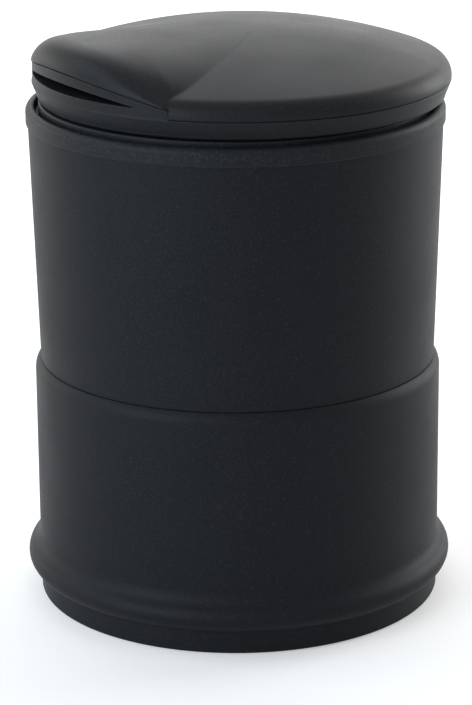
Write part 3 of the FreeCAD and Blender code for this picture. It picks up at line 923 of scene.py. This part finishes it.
    def angles(self) -> list[float]:
        """Angles of the cover's rays, close together at the tab and at the mouth's corners.

        Returns:
            The angles in radians, in rising order.
        """
        corner = math.degrees(math.asin(self.mouth_half / self.radius))
        gaps = (-self.corner_gap, self.corner_gap)
        turns = {side * (corner + gap) for side in (-1.0, 1.0) for gap in gaps}
        turn = -HALF_TURN
        while turn < HALF_TURN - ROUNDING:
            turns.add(turn)
            turn += self.tab_step if abs(turn + ROUNDING) < self.tab_sector else self.back_step
        return [math.radians(value) for value in sorted(turns)]

    def ray(self, angle: float) -> list[tuple[float, float]]:
        """Closed section of the cover along one ray, from the outer pole round to the inner pole.

        Args:
            angle: Angle from the tab in radians.

        Returns:
            Radii and heights in millimetres, without the two poles.
        """
        end = self.reach(angle)
        turn_in = self.radius - self.fine_rim
        radii = [turn_in * step / self.crown_steps for step in range(1, self.crown_steps)]
        last = math.asin(held((end - turn_in) / self.fine_rim))
        for step in range(self.rim_steps + 1):
            radii.append(turn_in + self.fine_rim * math.sin(last * step / self.rim_steps))
        section = [(r, self.top_z(r, angle)) for r in radii]
        high, low = section[-1][1], self.under_z(end, angle)
        for share in self.edge_shares:
            z = high + (low - high) * share
            section.append((end - max(0.0, self.lip - (z - low)), z))
        edge = end - self.lip
        mouth = self.opens(angle)
        back = self.mouth_back / math.cos(angle) if mouth else self.radius - self.wall
        for share in self.under_shares:
            r = edge + (back - edge) * share
            section.append((r, self.under_z(r, angle)))
        for share in self.inner_shares:
            r = back * share
            section.append((r, self.dome_z(min(r + self.wall, self.radius)) - self.wall))
        return section

    def place(self, r: float, angle: float, z: float) -> Point:
        """Point of the cover in the part's frame, in metres."""
        u, v = r * math.cos(angle), r * math.sin(angle)
        return (self.axis_x - u) * MM, -v * MM, z * MM

    def build_cover(self) -> bpy.types.Object:
        """Build the cover as one closed shell over rays from the lid axis.

        Returns:
            The cover's object.
        """
        points: list[Point] = []
        angles = self.angles()
        for angle in angles:
            points.extend(self.place(r, angle, z) for r, z in self.ray(angle))
        length = len(points) // len(angles)
        top, under = len(points), len(points) + 1
        points.append(self.place(0.0, 0.0, self.apex))
        points.append(self.place(0.0, 0.0, self.apex - self.wall))
        faces: list[Face] = []
        for number in range(len(angles)):
            here, after = number * length, (number + 1) % len(angles) * length
            faces.append((top, here, after))
            for step in range(length - 1):
                faces.append((here + step, here + step + 1, after + step + 1, after + step))
            faces.append((under, after + length - 1, here + length - 1))
        cover = add_piece("lid_cover_shell", points, faces)
        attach(cover, "lid")
        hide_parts("lid_cover")
        return cover

    def dress(self) -> None:
        """Build the cover and give every piece of the lid its finish."""
        satin = self.finish.build()
        self.build_cover().data.materials.append(satin)
        dress(satin, "lid_base")
        dress(self.steel.build(), "heat_shield")
        dress(self.seal.build(), "lid_seal")
        dress(self.screws.build(), *numbered("lid_screw", self.screw_count))


@dataclass(frozen=True)
class SoftPanel:
    """Soft studio light, placed as the camera sees it.

    Attributes:
        name: Name of the light.
        right: Metres to the camera's right.
        away: Metres away from the camera.
        up: Metres above the floor.
        width: Width of the panel in metres.
        height: Height of the panel in metres.
        power: Power in watts.
        colour: Colour of the light.
    """

    name: str
    right: float
    away: float
    up: float
    width: float
    height: float
    power: float
    colour: Colour = WHITE


SOFT_PANELS = (
    SoftPanel(
        "overhead", right=0.0, away=0.85, up=1.05, width=1.5, height=1.0, power=8.4
    ),
    SoftPanel(
        "back_wall", right=0.0, away=1.00, up=0.35, width=1.6, height=0.5, power=2.7
    ),
    SoftPanel(
        "left_low", right=-0.75, away=0.55, up=0.12, width=0.5, height=0.25, power=1.1,
        colour=(1.0, 0.90, 0.74),
    ),
    SoftPanel(
        "left_sky", right=-0.85, away=0.10, up=0.60, width=0.6, height=0.5, power=2.6,
        colour=(0.70, 0.86, 1.0),
    ),
    SoftPanel(
        "left_front", right=-0.65, away=-0.55, up=0.30, width=0.6, height=0.6, power=5.2,
        colour=(0.80, 0.92, 1.0),
    ),
    SoftPanel(
        "right_back", right=0.80, away=0.50, up=0.30, width=0.5, height=0.6, power=6.0
    ),
)


@dataclass
class Studio:
    """Pale floor, soft light and the camera.

    Attributes:
        camera_at: Place of the camera in millimetres.
        camera_to: Point that it looks at, in millimetres.
        roll: Turn about its line of sight in radians.
        lens_mm: Focal length.
        sensor_mm: Width of the sensor.
        floor: Finish of the floor.
        floor_half: Half of the floor's width in metres.
        world_level: Strength of the even light that falls on the ashtray.
        seen_level: Strength at which the room itself is seen.
        panels: Soft lights round the ashtray.
    """

    camera_at: Point = (-255.90, -425.39, 200.87)
    camera_to: Point = (-0.216, 0.130, 42.62)
    roll: float = -0.0079
    lens_mm: float = 150.11
    sensor_mm: float = 36.0
    floor: PaleFloor = PaleFloor()
    floor_half: float = 3.0
    world_level: float = 0.30
    seen_level: float = 1.0
    panels: tuple[SoftPanel, ...] = SOFT_PANELS

    def axes(self) -> tuple[Vector, Vector, Vector]:
        """Directions of the camera.

        Returns:
            Unit vectors to the camera's right, upwards and ahead.
        """
        ahead = (Vector(self.camera_to) - Vector(self.camera_at)).normalized()
        right = ahead.cross(Vector((0.0, 0.0, 1.0))).normalized()
        up = right.cross(ahead)
        cos, sin = math.cos(self.roll), math.sin(self.roll)
        return right * cos + up * sin, up * cos - right * sin, ahead

    def place_camera(self) -> None:
        """Set the camera at the photograph's viewpoint."""
        data = bpy.data.cameras.new("camera")
        data.lens = self.lens_mm
        data.sensor_width = self.sensor_mm
        camera = bpy.data.objects.new("camera", data)
        right, up, ahead = self.axes()
        turn = Matrix((right, up, -ahead)).transposed()
        camera.matrix_world = Matrix.Translation(Vector(self.camera_at) * MM) @ turn.to_4x4()
        bpy.context.scene.collection.objects.link(camera)
        bpy.context.scene.camera = camera

    def lay_floor(self) -> None:
        """Lay the floor that the ashtray stands on."""
        half = self.floor_half
        corners = [(-half, -half, 0.0), (half, -half, 0.0), (half, half, 0.0), (-half, half, 0.0)]
        floor = add_piece("studio_floor", corners, [(0, 1, 2, 3)])
        floor.data.materials.append(self.floor.build())

    def hang_lights(self) -> None:
        """Hang the soft panels round the ashtray, all turned to it."""
        ahead = self.axes()[2]
        away = Vector((ahead.x, ahead.y, 0.0)).normalized()
        right = Vector((away.y, -away.x, 0.0))
        centre = Vector(self.camera_to) * MM
        for panel in self.panels:
            data = bpy.data.lights.new(panel.name, "AREA")
            data.shape = "RECTANGLE"
            data.size = panel.width
            data.size_y = panel.height
            data.energy = panel.power
            data.color = panel.colour
            light = bpy.data.objects.new(panel.name, data)
            height = Vector((0.0, 0.0, panel.up))
            light.location = right * panel.right + away * panel.away + height
            light.rotation_mode = "QUATERNION"
            light.rotation_quaternion = (centre - light.location).to_track_quat("-Z", "Y")
            light.visible_camera = False
            bpy.context.scene.collection.objects.link(light)

    def light_world(self) -> None:
        """Fill the room with even light, which shows as white where it is seen."""
        world = bpy.data.worlds.new("studio")
        world.use_nodes = True
        tree = world.node_tree
        level = spanned(tree, seen_share(tree), FULL, (self.world_level, self.seen_level))
        background = tree.nodes["Background"]
        background.inputs["Color"].default_value = (*WHITE, OPAQUE)
        tree.links.new(level, background.inputs["Strength"])
        bpy.context.scene.world = world

    def build(self) -> None:
        """Set up the floor, the light, the camera and the view."""
        self.lay_floor()
        self.hang_lights()
        self.light_world()
        self.place_camera()
        bpy.context.scene.view_settings.view_transform = "Standard"


def main() -> None:
    """Dress the ashtray from the floor up and set it in the studio."""
    logging.basicConfig(level=logging.INFO)
    for assembly in (CupShell(), MouthRing(), AshLiner(), HingedLid()):
        assembly.dress()
        LOG.info("%s is finished", type(assembly).__name__)
    Studio().build()


if __name__ == "__main__":
    main()
